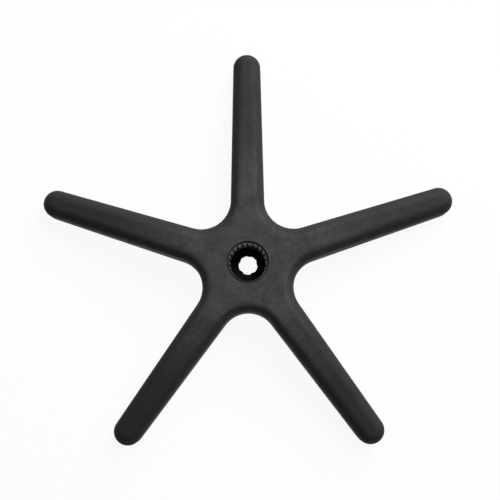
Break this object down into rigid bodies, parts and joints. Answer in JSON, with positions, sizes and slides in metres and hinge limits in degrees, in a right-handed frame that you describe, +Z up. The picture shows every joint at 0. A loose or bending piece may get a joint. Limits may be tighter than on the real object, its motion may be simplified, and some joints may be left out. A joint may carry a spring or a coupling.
{
  "type": "office chair five star base",
  "caption": "Moulded star-shaped swivel chair base with tapered round-ended legs, a column socket in the hub and caster stem sockets under the leg ends.",
  "frame": {"origin": "on the hub axis, in the plane of the feet and of the socket tube's underside", "axes": "+Z up along the hub axis, out of the column socket; +Y along the first leg"},
  "size_m": [0.5724, 0.5463, 0.057],
  "materials": {
    "black_nylon": "fine matt moulded texture"
  },
  "bodies": {
    "root": {"five_star_base": "black_nylon"}
  },
  "joints": []
}
